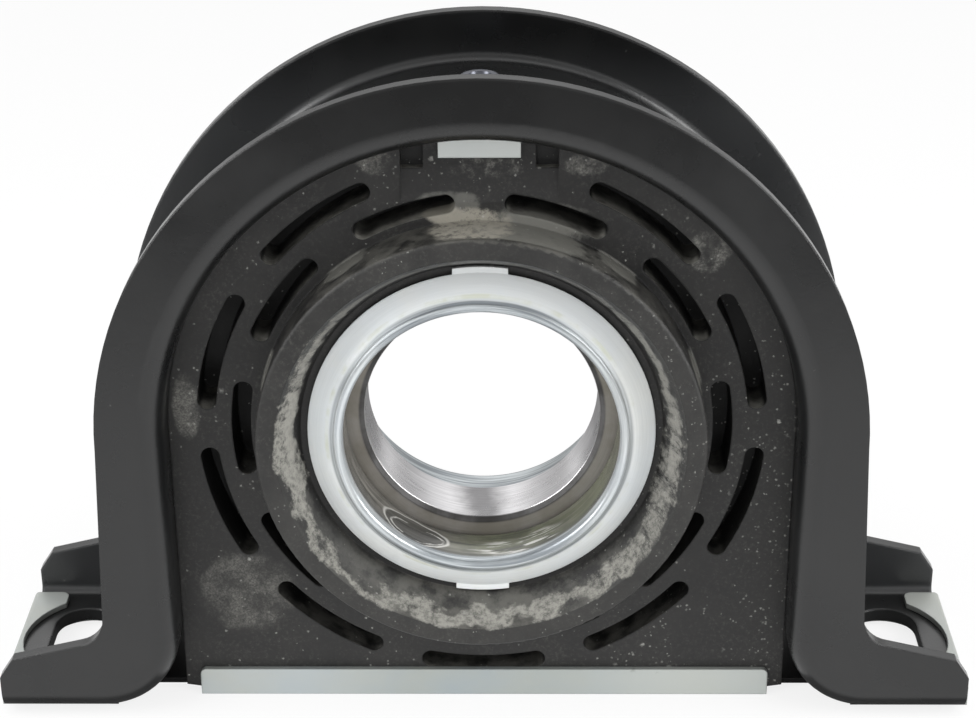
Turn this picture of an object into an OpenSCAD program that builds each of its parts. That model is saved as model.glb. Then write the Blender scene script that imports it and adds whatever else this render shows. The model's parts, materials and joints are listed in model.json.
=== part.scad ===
// Driveshaft centre bearing: pressed arch bracket, slotted rubber cushion, ball bearing.
// Millimetres. The shaft runs along Y, +Z is up, the origin is the centre of the bore.

/* [Bearing] */
// shaft bore of the inner ring
bore_d = 60; // [58:0.5:62]
// outside diameter of the outer ring
bearing_od = 95; // [94:0.5:96]
// width of both rings
bearing_w = 18; // [17.5:0.5:20]
// ball diameter
ball_d = 11.1; // [10.5:0.1:11.5]
// height of the ring shoulders above the bottom of the race
shoulder_h = 2.2; // [1.8:0.1:2.5]
// chamfer at the ends of the bore and of the outer ring
ring_chamfer = 1.1; // [0.5:0.1:1.5]
// sheet of the ball cage
cage_t = 0.9; // [0.7:0.1:1]
// width of the cage ribbon
cage_w = 3.5; // [3:0.1:4]
// shank diameter of a cage rivet
cage_rivet_d = 1.8; // [1.5:0.1:2]
// seal thickness
seal_t = 1.2; // [1:0.1:1.4]
// how far the seals sit in from the ring faces
seal_depth = 0.8; // [0.5:0.1:1]

/* [Bracket] */
// width of the channel along the shaft
bracket_w = 60; // [56:1:70]
// sheet thickness of the bracket
sheet_t = 3.5; // [3:0.5:4]
// radius of the arch where the cushion sits
web_r = 79; // [79:0.5:84]
// height of the side flanges round the arch
flange_h = 16.5; // [14:0.5:20]
// inside radius of the bend between web and flange
bend_r = 2.5; // [1.5:0.5:3]
// radius under the bend from leg to foot
corner_r = 20.5; // [18:0.5:22]
// how much wider the flanges get down the legs
leg_flare = 2.2; // [0:0.1:3]
// rounding in the free edge where leg meets foot
edge_fillet = 8; // [5:0.5:10]
// straight length of each foot past the bend
foot_len = 26; // [25:0.5:32]
// height of the foot flanges at the ends of the feet
foot_end_h = 16; // [13:0.5:18]
// fall of the foot flanges towards the ends of the feet, degrees
foot_slope = 13.5; // [8:0.5:16]
// length of the cut corner on the end of a foot flange
end_cut_x = 3.6; // [2:0.2:6]
// depth of the cut corner on the end of a foot flange
end_cut_z = 5.4; // [3:0.2:8]
// distance from the end of a foot to the middle of its bolt slot
bolt_edge = 15.5; // [14:0.1:16]
// width of a bolt slot
slot_w = 17; // [13:0.5:17.5]
// length of a bolt slot, along the shaft
slot_len = 34; // [24:1:36]

/* [Cushion] */
// thickness of the slotted part
cushion_w = 34; // [32:1:38]
// rubber round the outside of the bearing
hub_wall = 8.4; // [7:0.1:8.5]
// how far the hub stands out past the bracket, front and rear
hub_proud = 0.3; // [0:0.1:1.5]
// rounding of the outer edge of the hub
hub_round = 1; // [1:0.2:3]
// how far the hub reaches in over the outer ring
hub_grip = 3.6; // [3:0.1:4]
// rubber left flat on the end of the hub
hub_rim = 5; // [3.6:0.2:5.4]
// wall between the hub and the inner row of slots
inner_row_gap = 2.2; // [2:0.1:3]
// distance between the two rows of slots, middle to middle
row_step = 8.8; // [8:0.1:9]
// width of the slots in the rubber
rubber_slot_w = 4.8; // [3.8:0.1:5.2]
// angle one slot of the inner row takes up
inner_slot_angle = 24.7; // [18:0.1:26]
// angle one slot of the outer row takes up
outer_slot_angle = 27; // [18:0.1:28]
// rubber left between the front and rear slots
membrane_t = 8; // [4:0.5:12]
// height of the cut at the lower corners
lower_cut = 0.6; // [0.4:0.1:3]
// length of the cut at the lower corners
lower_run = 4; // [2:0.5:6]

/* [Base plate and clip] */
// height of the shaft above the mounting face
axis_height = 78; // [77:0.1:80]
// sheet thickness of the base plate
plate_t = 1.5; // [1.2:0.1:2]
// length of the lips along the cushion
lip_len = 150; // [140:1:151]
// height of the lips from the mounting face
lip_h = 7.6; // [6:0.2:10]
// width of the plate under the feet
pad_w = 47; // [44:1:47]
// width of the plate between the lips and the feet
waist_w = 26; // [20:1:32]
// reach of the folded ends over the feet
hook_reach = 10; // [6:0.5:10.5]
// radius of the cut-out round the bolt head
hook_cut_r = 22.6; // [19:0.1:24]
// room round the bolt slots in the plate
plate_slot_room = 2; // [0.5:0.1:2.5]
// sheet thickness of the top clip
clip_t = 1.5; // [1:0.1:1.8]
// width of the top clip
clip_w = 19.8; // [16:0.2:24]
// height of the front and rear lips of the clip
clip_lip_h = 7.4; // [6:0.2:9]
// width of the recess in the cushion for the clip
clip_recess_w = 38; // [34:1:44]
// depth of the recess for the clip
clip_recess_d = 2.1; // [1.8:0.1:2.6]
// width of the deeper pocket at each end of the recess
end_pocket_w = 5.4; // [4:0.2:6]
// head diameter of the top rivet
rivet_head_d = 10.5; // [9:0.1:12]
// height of the rivet head above the web
rivet_head_h = 4.5; // [2:0.1:5]
// shank diameter of the top rivet
rivet_d = 7; // [5:0.1:7.5]

/* [Dust shields] */
// sheet thickness of the dust shields
shield_t = 1; // [0.8:0.1:1.2]
// how far the collar clears the bore
collar_over_bore = 4.6; // [4.2:0.1:5]
// depth of the rolled lip inside the mouth of the hub
shield_recess = 5.7; // [5.2:0.1:6.3]
// width of the rolled lip
lip_roll = 2.6; // [2.4:0.1:3]
// width of the sloping rim
rim_w = 6.4; // [5.5:0.1:6.6]
// how far the rim slopes back
rim_drop = 4.5; // [3.5:0.1:4.7]
// width of the two tabs
tab_w = 13.6; // [10:0.2:18]
// how far the tabs stand out past the rim
tab_out = 1.5; // [1:0.1:1.7]

/* [Fits] */
// play between ball and race
race_gap = 0.03; // [0.02:0.01:0.06]
// play between ball and cage pocket
pocket_gap = 0.12; // [0.1:0.01:0.2]
// gap between seal and inner ring
seal_gap = 0.3; // [0.3:0.05:0.5]
// gap between shield collar and inner ring
collar_gap = 1; // [0.8:0.1:1.5]
// play of a sheet folded round another sheet
fold_gap = 0.1; // [0.05:0.05:0.2]

/* [Hidden] */
$fn = 96;
ball_count = 12;
slot_pitch = 36;
bore_r = bore_d / 2;
bearing_r = bearing_od / 2;
pitch_r = (bore_r + bearing_r) / 2;
ball_r = ball_d / 2;
groove_r = 0.52 * ball_d;
inner_race_r = pitch_r - ball_r - race_gap;
outer_race_r = pitch_r + ball_r + race_gap;
inner_shoulder_r = inner_race_r + shoulder_h;
outer_shoulder_r = outer_race_r - shoulder_h;
seal_seat_r = outer_shoulder_r + ring_chamfer;
seal_out_y = bearing_w / 2 - seal_depth;
seal_in_y = seal_out_y - seal_t;
pocket_in_r = ball_r + pocket_gap;
pocket_out_r = pocket_in_r + cage_t;
cage_in_r = pitch_r - cage_w / 2;
cage_out_r = pitch_r + cage_w / 2;
half_w = bracket_w / 2;
bend_out_r = bend_r + sheet_t;
free_r = web_r + flange_h;
foot_z = plate_t - axis_height;
foot_top_z = foot_z + sheet_t;
corner_x = web_r + corner_r;
foot_end = corner_x + foot_len;
corner_z = foot_z + corner_r;
slot_x = foot_end - bolt_edge;
half_c = cushion_w / 2;
hub_r = bearing_r + hub_wall;
half_hub = half_w + hub_proud;
shield_front = half_hub - shield_recess;
inner_row_r = hub_r + inner_row_gap + rubber_slot_w / 2;
outer_row_r = inner_row_r + row_step;
pocket_depth = (cushion_w - membrane_t) / 2;
collar_r = bore_r + collar_over_bore;
collar_out_r = collar_r + shield_t;
collar_end = bearing_w / 2 + collar_gap;
fold_r = collar_r + lip_roll;
rim_r = fold_r + rim_w;
rim_y = shield_front - rim_drop;
seat_y = rim_y - shield_t;
dish_r = rim_r + tab_out + 0.3;
recess_floor = half_c - clip_recess_d;
clip_out_y = recess_floor + clip_t + fold_gap;
clip_lip_z = web_r - clip_lip_h;
rivet_low_r = web_r - 2 * clip_t;
leg_deep = 2 * flange_h + edge_fillet;
foot_deep = 2 * foot_end_h;

// turns a profile (radius, distance along the shaft) round the shaft
module round_shaft() {
    rotate([-90, 0, 0])
        rotate_extrude()
            children();
}

// draws a flat outline (x, z) out along the shaft, half each way
module along_shaft(width) {
    rotate([90, 0, 0])
        linear_extrude(height = width, center = true)
            children();
}

// front face to rear face
module to_rear() {
    mirror([0, 1, 0])
        children();
}

// section of the channel: u is measured out from the cushion, flanges reach to u = top
module channel_section(top) {
    flat = half_w - bend_out_r;
    difference() {
        union() {
            translate([0, -flat])
                square([bend_out_r, 2 * flat]);
            translate([bend_out_r, -half_w])
                square([top - bend_out_r, bracket_w]);
            for (side = [-1, 1])
                translate([bend_out_r, side * flat])
                    circle(r = bend_out_r);
        }
        translate([sheet_t, -flat])
            square([top, 2 * flat]);
        translate([bend_out_r, sheet_t - half_w])
            square([top, bracket_w - 2 * sheet_t]);
        for (side = [-1, 1])
            translate([bend_out_r, side * flat])
                circle(r = bend_r);
    }
}

// free edge of the bracket below the arch: legs, feet and a fillet above each foot
module legs_outline() {
    run = foot_end - end_cut_x;
    top_z = foot_z + foot_end_h;
    edge_x = free_r + leg_flare;
    edge_z = top_z + (run - edge_x) * tan(foot_slope);
    up = [-leg_flare, -edge_z] / norm([leg_flare, edge_z]);
    out = [cos(foot_slope), -sin(foot_slope)];
    half_angle = acos(up * out) / 2;
    reach = edge_fillet / tan(half_angle);
    corner = [edge_x, edge_z];
    middle = corner + (up + out) / norm(up + out) * edge_fillet / sin(half_angle);
    right = [
        [free_r, 0],
        corner + up * reach,
        middle,
        corner + out * reach,
        [run, top_z],
        [foot_end, top_z - end_cut_z],
        [foot_end, foot_z - 1]
    ];
    left = [for (i = [len(right) - 1:-1:0]) [-right[i][0], right[i][1]]];
    difference() {
        polygon(concat(right, left));
        for (side = [-1, 1])
            translate([side * middle[0], middle[1]])
                circle(r = edge_fillet + 0.002);
    }
}

// one leg, the bend under it and the foot, right-hand side
module bracket_side() {
    translate([web_r, 0, corner_z])
        linear_extrude(height = -corner_z)
            channel_section(leg_deep);
    translate([corner_x, 0, corner_z])
        rotate([90, 0, 0])
            rotate([0, 0, 180])
                rotate_extrude(angle = 90)
                    translate([corner_r, 0])
                        mirror([1, 0])
                            channel_section(corner_r);
    translate([foot_end + 2, 0, foot_z])
        rotate([0, -90, 0])
            linear_extrude(height = foot_end + 2 - corner_x)
                channel_section(foot_deep);
}

// bolt slot with room added all round, drawn (x, y)
module bolt_slot(room) {
    half = (slot_len - slot_w) / 2;
    wide = slot_w + 2 * room;
    translate([-wide / 2, -half])
        square([wide, 2 * half]);
    for (side = [-1, 1])
        translate([0, side * half])
            circle(d = wide);
}

// holes for the two mounting bolts, as deep as foot and plate together
module bolt_slots(room) {
    for (side = [-1, 1])
        translate([side * slot_x, 0, -axis_height - 1])
            linear_extrude(height = plate_t + sheet_t + 2)
                bolt_slot(room);
}

// the pressed steel channel: arch, legs and feet in one piece
module bracket() {
    color([0.06, 0.06, 0.065])
        difference() {
            union() {
                rotate([90, 0, 0])
                    rotate_extrude(angle = 180)
                        translate([web_r, 0])
                            channel_section(flange_h);
                intersection() {
                    union() {
                        bracket_side();
                        mirror([1, 0, 0])
                            bracket_side();
                    }
                    along_shaft(bracket_w + 2)
                        legs_outline();
                }
            }
            bolt_slots(0);
            translate([0, 0, web_r - sheet_t])
                cylinder(d = rivet_d, h = 3 * sheet_t);
        }
}

// D-shaped outline of the cushion
module cushion_outline() {
    side_z = foot_z + lower_cut;
    intersection() {
        circle(r = web_r);
        translate([-web_r, -1])
            square([2 * web_r, web_r + 1]);
    }
    polygon([
        [-web_r, 0],
        [-web_r, side_z],
        [-web_r + lower_run, foot_z],
        [web_r - lower_run, foot_z],
        [web_r, side_z],
        [web_r, 0]
    ]);
}

// one curved slot with round ends, its middle straight up
module arc_slot(row_r, slot_angle) {
    end_angle = slot_angle / 2 - asin(rubber_slot_w / 2 / row_r);
    far = 2 * row_r;
    intersection() {
        difference() {
            circle(r = row_r + rubber_slot_w / 2);
            circle(r = row_r - rubber_slot_w / 2);
        }
        polygon([
            [0, 0],
            [-far * sin(end_angle), far * cos(end_angle)],
            [far * sin(end_angle), far * cos(end_angle)]
        ]);
    }
    for (side = [-1, 1])
        rotate(side * end_angle)
            translate([0, row_r])
                circle(d = rubber_slot_w);
}

// both rows of slots: ten next to the hub, nine outside them and none under the clip
module slot_rows() {
    for (i = [0:9])
        rotate((i + 0.5) * slot_pitch)
            arc_slot(inner_row_r, inner_slot_angle);
    for (i = [1:9])
        rotate(i * slot_pitch)
            arc_slot(outer_row_r, outer_slot_angle);
}

// one half of the hub as a profile (radius, distance forward)
module hub_profile() {
    shoulder = bearing_w / 2;
    grip_end = collar_end + 2 * collar_gap;
    polygon([
        [bearing_r, -1],
        [bearing_r, shoulder],
        [bearing_r - hub_grip, shoulder],
        [bearing_r - hub_grip, grip_end],
        [collar_out_r, grip_end],
        [collar_out_r, seat_y],
        [dish_r, seat_y],
        [hub_r - hub_rim, half_hub],
        [hub_r - hub_round, half_hub],
        [hub_r - hub_round, half_hub - hub_round],
        [hub_r, half_hub - hub_round],
        [hub_r, -1]
    ]);
    translate([hub_r - hub_round, half_hub - hub_round])
        circle(r = hub_round);
}

// recess under the clip, its floor running out to the face above the inner slots, front half
module clip_recess() {
    low = inner_row_r;
    floor_z = clip_lip_z - clip_recess_d;
    pocket_z = clip_lip_z - 1.4 * clip_recess_d;
    high = web_r + 1;
    over = half_c + 1;
    rotate([90, 0, 90])
        linear_extrude(height = clip_recess_w, center = true)
            polygon([
                [-over, low],
                [-half_c, low],
                [-recess_floor, floor_z],
                [-recess_floor, high],
                [-over, high]
            ]);
    for (side = [-1, 1])
        translate([side * (clip_recess_w - end_pocket_w) / 2, -half_c, high])
            cube([end_pocket_w, 4 * clip_recess_d, 2 * (high - pocket_z)], center = true);
}

// the moulded rubber between bearing and bracket
module rubber_cushion() {
    color([0.1, 0.1, 0.1])
        difference() {
            union() {
                difference() {
                    along_shaft(cushion_w)
                        cushion_outline();
                    round_shaft()
                        translate([0, -half_c - 1])
                            square([hub_r - 1, cushion_w + 2]);
                }
                round_shaft() {
                    hub_profile();
                    mirror([0, 1])
                        hub_profile();
                }
            }
            for (side = [-1, 1])
                translate([0, side * (half_c + 1 - (pocket_depth + 1) / 2), 0])
                    along_shaft(pocket_depth + 1)
                        slot_rows();
            clip_recess();
            to_rear()
                clip_recess();
            along_shaft(2 * clip_out_y)
                clip_strip(web_r - clip_t, web_r + 1);
            translate([0, 0, rivet_low_r - 0.2])
                cylinder(d = rivet_head_d + 1, h = 4);
        }
}

// strip under the top of the arch as wide as the clip, drawn (x, z)
module clip_strip(low_r, high_r) {
    intersection() {
        difference() {
            circle(r = high_r);
            circle(r = low_r);
        }
        translate([-clip_w / 2, 0])
            square([clip_w, high_r]);
    }
}

// zinc strip over the cushion with a lip down its front and rear
module top_clip() {
    color([0.72, 0.74, 0.74])
        difference() {
            union() {
                along_shaft(2 * clip_out_y)
                    clip_strip(web_r - clip_t, web_r);
                for (side = [-1, 1])
                    translate([0, side * (clip_out_y - clip_t / 2), 0])
                        along_shaft(clip_t)
                            intersection() {
                                circle(r = web_r);
                                translate([-clip_w / 2, clip_lip_z])
                                    square([clip_w, clip_lip_h]);
                            }
            }
            translate([0, 0, web_r - clip_t - 2])
                cylinder(d = rivet_d, h = clip_t + 4);
        }
}

// tubular rivet through the arch and the clip
module top_rivet() {
    head_r = rivet_head_d / 2;
    hole_r = rivet_d / 2 - 1.2;
    web_top = web_r + sheet_t;
    head_top = web_top + rivet_head_h;
    low = web_r - clip_t;
    color([0.6, 0.6, 0.6])
        rotate_extrude()
            union() {
                polygon([
                    [hole_r, rivet_low_r],
                    [head_r - 1, rivet_low_r],
                    [head_r - 1, low - 0.25],
                    [rivet_d / 2, low - 0.25],
                    [rivet_d / 2, web_top],
                    [head_r, web_top],
                    [head_r, head_top - 1.2],
                    [head_r - 1.2, head_top - 1.2],
                    [head_r - 1.2, head_top],
                    [hole_r + 0.6, head_top],
                    [hole_r, head_top - 1.6]
                ]);
                translate([head_r - 1.2, head_top - 1.2])
                    circle(r = 1.2);
            }
}

// outline of the flat sheet under the bracket, drawn (x, y)
module plate_outline() {
    lip_w = cushion_w + 2 * plate_t;
    pad_in = slot_x - slot_w / 2 - plate_slot_room - 2 * plate_t;
    pad_out = foot_end + fold_gap + plate_t;
    translate([-lip_len / 2, -lip_w / 2])
        square([lip_len, lip_w]);
    translate([-slot_x, -waist_w / 2])
        square([2 * slot_x, waist_w]);
    for (side = [-1, 1])
        translate([side * (pad_in + pad_out) / 2, 0])
            square([pad_out - pad_in, pad_w], center = true);
}

// one lip of the base plate, drawn (x, z)
module lip_outline() {
    round_r = plate_t;
    low = -axis_height;
    half = lip_len / 2;
    translate([-half, low])
        square([lip_len, lip_h - round_r]);
    translate([-half + round_r, low])
        square([lip_len - 2 * round_r, lip_h]);
    for (side = [-1, 1])
        translate([side * (half - round_r), low + lip_h - round_r])
            circle(r = round_r);
}

// the folded end over a foot, drawn (x, z), right-hand side
module hook_section() {
    wall = foot_end + fold_gap;
    low = -axis_height;
    high = foot_top_z + fold_gap + plate_t;
    outer = wall + plate_t;
    translate([wall, low])
        square([plate_t, high - plate_t - low]);
    translate([outer - hook_reach, high - plate_t])
        square([hook_reach - plate_t, plate_t]);
    intersection() {
        translate([outer - plate_t, high - plate_t])
            circle(r = plate_t);
        translate([outer - plate_t, high - plate_t])
            square([plate_t, plate_t]);
    }
}

// folded end with rounded ears either side of the bolt
module hook() {
    ear_r = 1.5 * plate_t;
    outer = foot_end + fold_gap + plate_t;
    inner = outer - hook_reach;
    half = pad_w / 2;
    intersection() {
        along_shaft(pad_w)
            hook_section();
        translate([0, 0, -axis_height - 1])
            linear_extrude(height = axis_height)
                difference() {
                    union() {
                        translate([inner + ear_r, -half])
                            square([hook_reach, pad_w]);
                        translate([inner, ear_r - half])
                            square([ear_r + 1, pad_w - 2 * ear_r]);
                        for (side = [-1, 1])
                            translate([inner + ear_r, side * (half - ear_r)])
                                circle(r = ear_r);
                    }
                    translate([foot_end + fold_gap - 0.3 - hook_cut_r, 0])
                        circle(r = hook_cut_r);
                }
    }
}

// zinc sheet under the cushion and the feet
module base_plate() {
    color([0.72, 0.74, 0.75])
        difference() {
            union() {
                translate([0, 0, -axis_height])
                    linear_extrude(height = plate_t)
                        plate_outline();
                for (side = [-1, 1])
                    translate([0, side * (half_c + plate_t / 2), 0])
                        along_shaft(plate_t)
                            lip_outline();
                hook();
                mirror([1, 0, 0])
                    hook();
            }
            bolt_slots(plate_slot_room);
        }
}

// ring section with cut corners on one side, drawn (radius, distance along the shaft)
module ring_section(near_r, far_r, cut_r) {
    half = bearing_w / 2;
    in_cut = cut_r == near_r ? ring_chamfer : 0;
    out_cut = cut_r == far_r ? ring_chamfer : 0;
    polygon([
        [near_r + in_cut, -half],
        [far_r - out_cut, -half],
        [far_r, out_cut - half],
        [far_r, half - out_cut],
        [far_r - out_cut, half],
        [near_r + in_cut, half],
        [near_r, half - in_cut],
        [near_r, in_cut - half]
    ]);
}

// outer ring with its race and the seats for both seals
module bearing_outer_ring() {
    color([0.6, 0.61, 0.62])
        round_shaft()
            difference() {
                ring_section(outer_shoulder_r, bearing_r, bearing_r);
                translate([outer_race_r - groove_r, 0])
                    circle(r = groove_r);
                for (side = [0, 1])
                    mirror([0, side])
                        translate([0, seal_in_y])
                            square([seal_seat_r, bearing_w]);
            }
}

// inner ring, turns with the shaft
module bearing_inner_ring() {
    color([0.62, 0.62, 0.62])
        round_shaft()
            difference() {
                ring_section(bore_r, inner_shoulder_r, bore_r);
                translate([inner_race_r + groove_r, 0])
                    circle(r = groove_r);
            }
}

// places something at each ball
module at_balls() {
    for (i = [0:ball_count - 1])
        rotate([0, i * 360 / ball_count, 0])
            translate([pitch_r, 0, 0])
                children();
}

// one pressed half of the cage, front side
module cage_half() {
    difference() {
        intersection() {
            round_shaft()
                translate([cage_in_r, -pocket_out_r - 1])
                    square([cage_w, pocket_out_r + 1]);
            union() {
                round_shaft()
                    translate([cage_in_r - 1, -cage_t])
                        square([cage_w + 2, cage_t + 1]);
                at_balls()
                    rotate([90, 0, 0])
                        sphere(r = pocket_out_r);
            }
        }
        at_balls()
            rotate([90, 0, 0])
                sphere(r = pocket_in_r);
        rotate([0, 180 / ball_count, 0])
            at_balls()
                rotate([90, 0, 0])
                    cylinder(d = cage_rivet_d, h = 2 * cage_t + 2, center = true, $fn = 24);
    }
}

// front half of the cage
module cage_front() {
    color([0.66, 0.6, 0.48])
        cage_half();
}

// rear half of the cage
module cage_rear() {
    color([0.66, 0.6, 0.48])
        to_rear()
            cage_half();
}

// one rivet of the cage, between two balls
module cage_rivet(i) {
    shank_r = cage_rivet_d / 2;
    head_r = shank_r + 0.7;
    head_h = 0.6;
    color([0.55, 0.55, 0.55])
        rotate([0, (i + 0.5) * 360 / ball_count, 0])
            translate([pitch_r, 0, 0])
                rotate([-90, 0, 0])
                    rotate_extrude($fn = 24)
                        polygon([
                            [0, -cage_t - head_h],
                            [head_r, -cage_t - head_h],
                            [head_r, -cage_t],
                            [shank_r, -cage_t],
                            [shank_r, cage_t],
                            [head_r, cage_t],
                            [head_r, cage_t + head_h],
                            [0, cage_t + head_h]
                        ]);
}

// one ball
module ball(i) {
    color([0.7, 0.71, 0.72])
        rotate([0, i * 360 / ball_count, 0])
            translate([pitch_r, 0, 0])
                sphere(r = ball_r);
}

// seal ring between outer and inner ring, front side
module seal_ring() {
    round_shaft()
        translate([inner_shoulder_r + seal_gap, -seal_out_y])
            square([seal_seat_r - inner_shoulder_r - seal_gap, seal_t]);
}

// front seal of the bearing
module front_seal() {
    color([0.16, 0.15, 0.14])
        seal_ring();
}

// rear seal of the bearing
module rear_seal() {
    color([0.16, 0.15, 0.14])
        to_rear()
            seal_ring();
}

// dust shield as a profile (radius, distance forward): collar, rolled lip, sloping rim
module shield_profile() {
    roll_r = lip_roll / 2;
    middle = [collar_r + roll_r, shield_front - roll_r];
    crease = middle + [roll_r - 0.15, 0.65];
    rim = [rim_r, rim_y];
    slope = (rim - crease) / norm(rim - crease);
    back = [slope[1], -slope[0]] * shield_t;
    translate([collar_r, collar_end])
        square([shield_t, middle[1] - collar_end]);
    translate(middle)
        circle(r = roll_r);
    polygon([middle, crease, rim, rim + back, crease + back]);
}

// front dust shield with its two tabs
module shield_ring() {
    tab_in = rim_r - 1.4;
    to_rear() {
        round_shaft()
            shield_profile();
        intersection() {
            round_shaft()
                translate([tab_in, seat_y])
                    square([rim_r + tab_out - tab_in, shield_t]);
            cube([tab_w, 3 * rim_r, 3 * rim_r], center = true);
        }
    }
}

// zinc ring in the mouth of the hub, front
module front_dust_shield() {
    color([0.75, 0.77, 0.77])
        shield_ring();
}

// zinc ring in the mouth of the hub, rear
module rear_dust_shield() {
    color([0.75, 0.77, 0.77])
        to_rear()
            shield_ring();
}

bracket();
rubber_cushion();
base_plate();
top_clip();
top_rivet();
bearing_outer_ring();
bearing_inner_ring();
cage_front();
cage_rear();
cage_rivet(0);  // cage_rivet_01
cage_rivet(1);  // cage_rivet_02
cage_rivet(2);  // cage_rivet_03
cage_rivet(3);  // cage_rivet_04
cage_rivet(4);  // cage_rivet_05
cage_rivet(5);  // cage_rivet_06
cage_rivet(6);  // cage_rivet_07
cage_rivet(7);  // cage_rivet_08
cage_rivet(8);  // cage_rivet_09
cage_rivet(9);  // cage_rivet_10
cage_rivet(10);  // cage_rivet_11
cage_rivet(11);  // cage_rivet_12
ball(0);  // ball_01
ball(1);  // ball_02
ball(2);  // ball_03
ball(3);  // ball_04
ball(4);  // ball_05
ball(5);  // ball_06
ball(6);  // ball_07
ball(7);  // ball_08
ball(8);  // ball_09
ball(9);  // ball_10
ball(10);  // ball_11
ball(11);  // ball_12
front_seal();
rear_seal();
front_dust_shield();
rear_dust_shield();
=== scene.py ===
import json
import math

import bpy
from mathutils import Matrix, Vector


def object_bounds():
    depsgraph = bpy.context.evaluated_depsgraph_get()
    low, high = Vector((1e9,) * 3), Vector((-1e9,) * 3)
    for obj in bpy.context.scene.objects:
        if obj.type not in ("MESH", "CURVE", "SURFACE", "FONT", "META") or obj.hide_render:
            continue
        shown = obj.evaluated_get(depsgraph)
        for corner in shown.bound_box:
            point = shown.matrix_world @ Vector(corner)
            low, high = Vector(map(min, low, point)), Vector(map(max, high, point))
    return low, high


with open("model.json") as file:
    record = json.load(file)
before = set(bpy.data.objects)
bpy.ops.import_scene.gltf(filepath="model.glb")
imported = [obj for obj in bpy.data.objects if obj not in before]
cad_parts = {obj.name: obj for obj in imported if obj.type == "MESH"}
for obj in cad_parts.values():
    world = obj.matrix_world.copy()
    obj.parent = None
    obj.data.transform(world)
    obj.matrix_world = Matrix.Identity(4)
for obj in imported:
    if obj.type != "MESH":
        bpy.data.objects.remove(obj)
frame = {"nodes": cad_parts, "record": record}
cadLow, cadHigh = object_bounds()
nodes = frame["nodes"]
print("frame loaded,", len(nodes), "nodes")

noiseMiddle = 0.5  # average of a noise texture
warpDetail = 3.0
bevelSamples = 4


# small helpers for building node trees
def addNode(tree, kind, values=None, **settings):
    node = tree.nodes.new(kind)
    for key, value in settings.items():
        setattr(node, key, value)
    for key, value in (values or {}).items():
        node.inputs[key].default_value = value
    return node


def feed(tree, source, target):
    if isinstance(source, (int, float)):
        target.default_value = source
    elif isinstance(source, (tuple, list)):
        target.default_value = source if len(source) == len(target.default_value) else (*source, 1)
    else:
        tree.links.new(source, target)


def calc(tree, operation, a, b=0.0, clamp=False):
    node = addNode(tree, "ShaderNodeMath", operation=operation, use_clamp=clamp)
    feed(tree, a, node.inputs[0])
    feed(tree, b, node.inputs[1])
    return node.outputs[0]


def plus(tree, total, *others):
    for other in others:
        total = calc(tree, "ADD", total, other)
    return total


def times(tree, product, *others):
    for other in others:
        product = calc(tree, "MULTIPLY", product, other)
    return product


def minus(tree, a, b):
    return calc(tree, "SUBTRACT", a, b)


def inverse(tree, mask):
    return minus(tree, 1.0, mask)


def higher(tree, a, b):
    return calc(tree, "MAXIMUM", a, b)


def absolute(tree, value):
    return calc(tree, "ABSOLUTE", value)


def calcVector(tree, operation, a, b):
    node = addNode(tree, "ShaderNodeVectorMath", operation=operation)
    feed(tree, a, node.inputs[0])
    feed(tree, b, node.inputs[1])
    return node.outputs[0]


# smooth step from low to high; the look dictionaries give both, and the results where they aren't 0 and 1
def ramp(tree, value, low, high, outLow=0.0, outHigh=1.0):
    node = addNode(tree, "ShaderNodeMapRange", interpolation_type="SMOOTHSTEP")
    sources = {"Value": value, "From Min": low, "From Max": high, "To Min": outLow, "To Max": outHigh}
    for name, source in sources.items():
        feed(tree, source, node.inputs[name])
    return node.outputs["Result"]


def mixColor(tree, mask, a, b):
    node = addNode(tree, "ShaderNodeMix", data_type="RGBA")
    feed(tree, mask, node.inputs[0])
    feed(tree, a, node.inputs[6])
    feed(tree, b, node.inputs[7])
    return node.outputs[2]


def mixValue(tree, mask, a, b):
    node = addNode(tree, "ShaderNodeMix", data_type="FLOAT")
    feed(tree, mask, node.inputs[0])
    feed(tree, a, node.inputs[2])
    feed(tree, b, node.inputs[3])
    return node.outputs[0]


def noise(tree, vector, scale, detail=3.0, rough=0.55):
    node = addNode(tree, "ShaderNodeTexNoise", {"Detail": detail, "Roughness": rough})
    feed(tree, vector, node.inputs["Vector"])
    feed(tree, scale, node.inputs["Scale"])
    return node.outputs["Fac"]


# patches: a noise of given scale, detail and roughness, sharpened by a ramp
def cloud(tree, vector, look):
    return ramp(tree, noise(tree, vector, *look["noise"]), *look["ramp"])


def warped(tree, vector, scale, amount):
    wave = addNode(tree, "ShaderNodeTexNoise", {"Detail": warpDetail})
    feed(tree, vector, wave.inputs["Vector"])
    feed(tree, scale, wave.inputs["Scale"])
    shift = calcVector(tree, "SUBTRACT", wave.outputs["Color"], (noiseMiddle,) * 3)
    sized = addNode(tree, "ShaderNodeVectorMath", operation="SCALE")
    feed(tree, shift, sized.inputs[0])
    feed(tree, amount, sized.inputs["Scale"])
    return calcVector(tree, "ADD", vector, sized.outputs[0])


def axes(tree, vector):
    node = addNode(tree, "ShaderNodeSeparateXYZ")
    feed(tree, vector, node.inputs[0])
    return node.outputs[0], node.outputs[1], node.outputs[2]


def shaftRadius(tree, vector):
    x, z = axes(tree, vector)[::2]
    return calc(tree, "SQRT", plus(tree, times(tree, x, x), times(tree, z, z)))


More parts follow.
